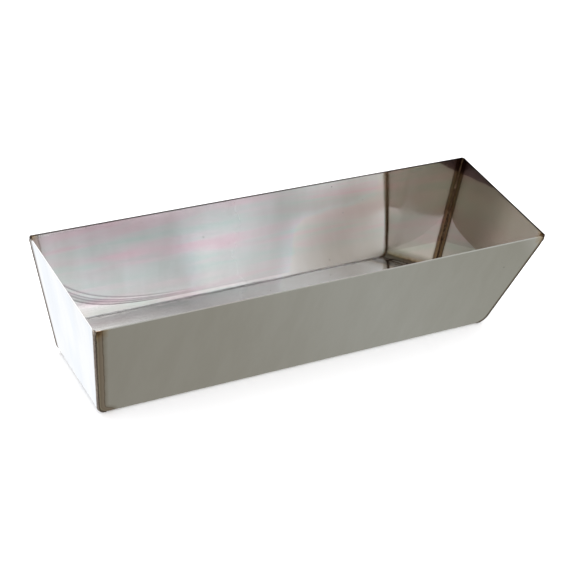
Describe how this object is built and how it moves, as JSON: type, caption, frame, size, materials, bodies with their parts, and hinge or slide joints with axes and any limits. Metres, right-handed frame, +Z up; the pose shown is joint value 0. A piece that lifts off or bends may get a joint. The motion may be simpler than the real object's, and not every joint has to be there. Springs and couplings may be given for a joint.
{
  "type": "mud pan",
  "caption": "Long open trough of polished stainless sheet with leaning walls, a narrow flat floor, rounded end feet and welded corner seams, for joint compound.",
  "frame": {"origin": "middle of the underside, on the surface that the pan stands on", "axes": "+X along the pan, +Y across it, +Z up out of the open rim"},
  "size_m": [0.3048, 0.094, 0.077],
  "materials": {
    "sheet_steel": "polished stainless sheet, close to a mirror, faintly tinted by heat near the seams",
    "weld_bead": "stainless weld bead, dressed, straw and brown heat tint"
  },
  "bodies": {
    "root": {"trough": "sheet_steel", "left_end_plate": "sheet_steel", "right_end_plate": "sheet_steel", "front_left_corner_weld": "weld_bead", "front_right_corner_weld": "weld_bead", "back_left_corner_weld": "weld_bead", "back_right_corner_weld": "weld_bead", "left_floor_weld": "weld_bead", "right_floor_weld": "weld_bead"}
  },
  "joints": []
}
